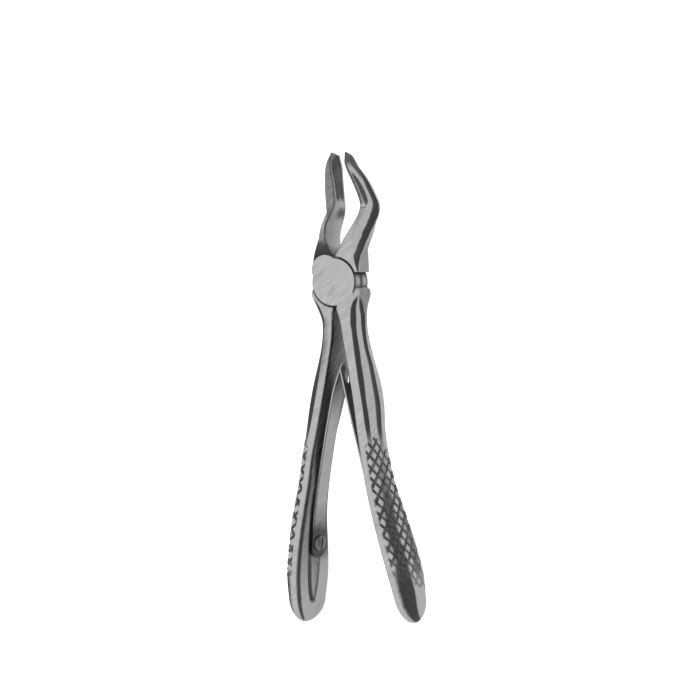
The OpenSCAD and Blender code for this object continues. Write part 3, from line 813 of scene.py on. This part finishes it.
def steel(name, light, dark, rough, marks, shaded=True, grain=1.0):
    """Satin steel: fine grain, slanting grinding marks in patches, and the painted shade and
    painted dark reflections that the mesh's shade attribute carries."""
    material = bpy.data.materials.new(name)
    tree = nodes_of(material)
    coord = tree.nodes.new("ShaderNodeTexCoord")
    # grinding marks slant across the part, on its front and on its sides alike
    c, s, d = math.cos(math.radians(MARK_SLANT)), math.sin(math.radians(MARK_SLANT)), math.sqrt(0.5)
    axes = [((c * d, s, -c * d), MARKS_ALONG), ((-s * d, c, s * d), MARKS_ACROSS),
            ((d, 0.0, d), MARKS_ALONG)]
    turned = tree.nodes.new("ShaderNodeCombineXYZ")
    for k, (axis, scale) in enumerate(axes):
        part = link_new(tree, "ShaderNodeVectorMath", "DOT_PRODUCT", i0=coord.outputs["Object"],
                        i1=[c * scale for c in axis])
        tree.links.new(part.outputs["Value"], turned.inputs[k])
    lines = link_new(tree, "ShaderNodeTexNoise", Vector=turned.outputs[0], Scale=1.0, Detail=2.0,
                     Roughness=0.5)
    patches = link_new(tree, "ShaderNodeTexNoise", Vector=coord.outputs["Object"], Scale=PATCHES,
                       Detail=2.0)
    fine = link_new(tree, "ShaderNodeTexNoise", Vector=coord.outputs["Object"], Scale=GRAIN,
                    Detail=2.0)
    spread = link_new(tree, "ShaderNodeMapRange", Value=lines.outputs["Fac"], From_Min=0.3,
                      From_Max=0.7, To_Min=1 - marks, To_Max=1 + marks)
    amount = link_new(tree, "ShaderNodeMapRange", Value=patches.outputs["Fac"], From_Min=0.35,
                      From_Max=0.65, To_Min=0.0, To_Max=1.0)
    one = link_new(tree, "ShaderNodeMix", Factor=amount.outputs[0])
    one.data_type = "FLOAT"
    one.inputs[2].default_value = 1.0
    tree.links.new(spread.outputs[0], one.inputs[3])
    speck = link_new(tree, "ShaderNodeMapRange", Value=fine.outputs["Fac"], From_Min=0.3,
                     From_Max=0.7, To_Min=0.92, To_Max=1.08)
    vary = math_node(tree, "MULTIPLY", one.outputs[0], speck.outputs[0])
    bright = tree.nodes.new("ShaderNodeMix")
    bright.data_type, bright.blend_type = "RGBA", "MULTIPLY"
    bright.inputs[0].default_value = 1.0
    bright.inputs[6].default_value = (*light, 1)
    tree.links.new(vary, bright.inputs[7])
    colour = bright.outputs[2]
    if shaded:
        painted_shade = tree.nodes.new("ShaderNodeAttribute")
        painted_shade.attribute_name = "shade"
        shade_mix = tree.nodes.new("ShaderNodeMix")
        shade_mix.data_type = "RGBA"
        # half-strength painted shade is hatched by the grinding marks
        half = math_node(tree, "MULTIPLY", painted_shade.outputs["Fac"],
                         math_node(tree, "SUBTRACT", 1.0, painted_shade.outputs["Fac"]))
        swing = math_node(tree, "SUBTRACT", lines.outputs["Fac"], 0.5)
        hatch = math_node(tree, "MULTIPLY", math_node(tree, "MULTIPLY", half, swing), HATCHING)
        tree.links.new(math_node(tree, "ADD", painted_shade.outputs["Fac"], hatch), shade_mix.inputs[0])
        tree.links.new(colour, shade_mix.inputs[6])
        shade_mix.inputs[7].default_value = (*dark, 1)
        colour = shade_mix.outputs[2]
    bump = link_new(tree, "ShaderNodeBump", Height=lines.outputs["Fac"], Strength=0.18 * grain,
                    Distance=0.00003)
    bump2 = link_new(tree, "ShaderNodeBump", Height=fine.outputs["Fac"], Strength=0.25 * grain,
                     Distance=0.00001, Normal=bump.outputs[0])
    coarse = link_new(tree, "ShaderNodeMapRange", Value=patches.outputs["Fac"], From_Min=0.3,
                      From_Max=0.7, To_Min=rough - 0.04, To_Max=rough + 0.05)
    shader = link_new(tree, "ShaderNodeBsdfPrincipled", Base_Color=colour, Metallic=0.85,
                      Roughness=coarse.outputs[0], Normal=bump2.outputs[0])
    out = tree.nodes.new("ShaderNodeOutputMaterial")
    tree.links.new(shader.outputs[0], out.inputs[0])
    return material


# the second colour is what full painted shade darkens the forged and the spring steel to
FORGED_STEEL = steel("forged steel", (0.55, 0.55, 0.55), (0.055, 0.055, 0.057), 0.4, marks=0.19)
SPRING_STEEL = steel("spring steel", (0.5, 0.5, 0.51), (0.06, 0.06, 0.06), 0.3, marks=0.16,
                     grain=0.6)
SCREW_STEEL = steel("screw steel", (0.2, 0.2, 0.205), (0.05, 0.05, 0.05), 0.33, marks=0.08,
                    shaded=False, grain=0.6)


def dress(obj, material):
    obj.data.materials.clear()
    obj.data.materials.append(material)
    return obj


# ---- the object ----------------------------------------------------------------------------
for name, node in (("front_forging", "front_half"), ("rear_forging", "rear_half")):
    half = dress(forging(name, node == "front_half"), FORGED_STEEL)
    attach(half, node)
    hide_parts(node)

for leaf, node, side in ((right_leaf(), "right_spring", 1), (left_leaf(), "left_spring", -1)):
    dress(leaf, SPRING_STEEL)
    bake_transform(leaf)
    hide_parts(node)

for name in ("pivot_screw", "right_spring_screw", "left_spring_screw"):
    dress(frame["nodes"][name], SCREW_STEEL)


# ---- floor, light and camera ---------------------------------------------------------------
def floor_material():
    material = bpy.data.materials.new("pale floor")
    tree = nodes_of(material)
    shader = link_new(tree, "ShaderNodeBsdfPrincipled", Base_Color=(0.86, 0.86, 0.86, 1),
                      Roughness=0.9, Emission_Color=(1, 1, 1, 1), Emission_Strength=0.8)
    shader.inputs["Specular IOR Level"].default_value = 0.0
    out = tree.nodes.new("ShaderNodeOutputMaterial")
    tree.links.new(shader.outputs[0], out.inputs[0])
    return material


HALF_FLOOR = 3.0     # metres
floor_mesh = bpy.data.meshes.new("floor")
floor_mesh.from_pydata([(x * HALF_FLOOR, y * HALF_FLOOR, FLOOR_Z)
                        for x, y in ((-1, -1), (1, -1), (1, 1), (-1, 1))], [], [(0, 1, 2, 3)])
floor = bpy.data.objects.new("floor", floor_mesh)
bpy.context.scene.collection.objects.link(floor)
dress(floor, floor_material())
floor.visible_glossy = floor.visible_diffuse = False    # the steel shows the room instead


def studio_world():
    """An even soft box over the object in a slightly darker room."""
    world = bpy.data.worlds.new("studio")
    bpy.context.scene.world = world
    world.use_nodes = True
    tree = world.node_tree
    tree.nodes.clear()
    coord = tree.nodes.new("ShaderNodeTexCoord")
    split = link_new(tree, "ShaderNodeSeparateXYZ", i0=coord.outputs["Generated"])
    lean = math_node(tree, "ARCTAN2", split.outputs["X"], split.outputs["Z"])
    place = link_new(tree, "ShaderNodeMapRange", Value=lean, From_Min=-math.pi,
                     From_Max=math.pi, To_Min=0.0, To_Max=1.0)
    levels = link_new(tree, "ShaderNodeValToRGB", i0=place.outputs[0])
    # the light's level by the angle round the object's length, 0 straight in front
    stops = [(-180, 0.88), (-120, 0.85), (-100, 0.9), (-72, 1.0), (22, 1.0), (38, 0.95), (88, 0.92),
             (110, 0.9), (180, 0.88)]
    levels.color_ramp.interpolation = "EASE"
    elements = levels.color_ramp.elements
    while len(elements) < len(stops):
        elements.new(0.5)
    for element, (angle, _) in zip(elements, stops):
        element.position = (angle + 180) / 360
    for element, (_, level) in zip(elements, stops):
        element.color = (level, level, level, 1)
    lit = link_new(tree, "ShaderNodeBackground", Color=levels.outputs[0], Strength=0.86)
    pale = link_new(tree, "ShaderNodeBackground", Color=(0.93, 0.93, 0.93, 1), Strength=1.0)
    path = tree.nodes.new("ShaderNodeLightPath")
    choose = link_new(tree, "ShaderNodeMixShader", Fac=path.outputs["Is Camera Ray"],
                      i1=lit.outputs[0], i2=pale.outputs[0])
    out = tree.nodes.new("ShaderNodeOutputWorld")
    tree.links.new(choose.outputs[0], out.inputs[0])


studio_world()

VIEW_SIDE = math.radians(28)      # the camera looks from this far to the right of the joint's axis
VIEW_ROLL = math.radians(0.95)
VIEW_RIGHT, VIEW_DOWN = 2.75, 18.65   # millimetres from the pivot to the middle of the view
VIEW_WIDTH, VIEW_DISTANCE = 0.1923, 1.2     # metres
back_way = Vector((math.sin(VIEW_SIDE), 0, math.cos(VIEW_SIDE)))
right_way = Vector((math.cos(VIEW_SIDE), 0, -math.sin(VIEW_SIDE)))
up_way = Vector((0, 1, 0))
right_way, up_way = (right_way * math.cos(VIEW_ROLL) - up_way * math.sin(VIEW_ROLL),
                     up_way * math.cos(VIEW_ROLL) + right_way * math.sin(VIEW_ROLL))
camera_data = bpy.data.cameras.new("camera")
camera = bpy.data.objects.new("camera", camera_data)
bpy.context.scene.collection.objects.link(camera)
target = Vector((0, 0, -HALF_T)) * MM + (right_way * VIEW_RIGHT - up_way * VIEW_DOWN) * MM
camera_data.sensor_width = 36
camera_data.lens = camera_data.sensor_width * VIEW_DISTANCE / VIEW_WIDTH
camera.location = target + back_way * VIEW_DISTANCE
turn = np.array([right_way, up_way, back_way]).T
camera.matrix_world = Matrix(
    [[*turn[0], camera.location.x], [*turn[1], camera.location.y], [*turn[2], camera.location.z],
     [0, 0, 0, 1]])
camera_data.clip_start, camera_data.clip_end = 0.05, 10
bpy.context.scene.camera = camera
bpy.context.scene.view_settings.view_transform = "Standard"
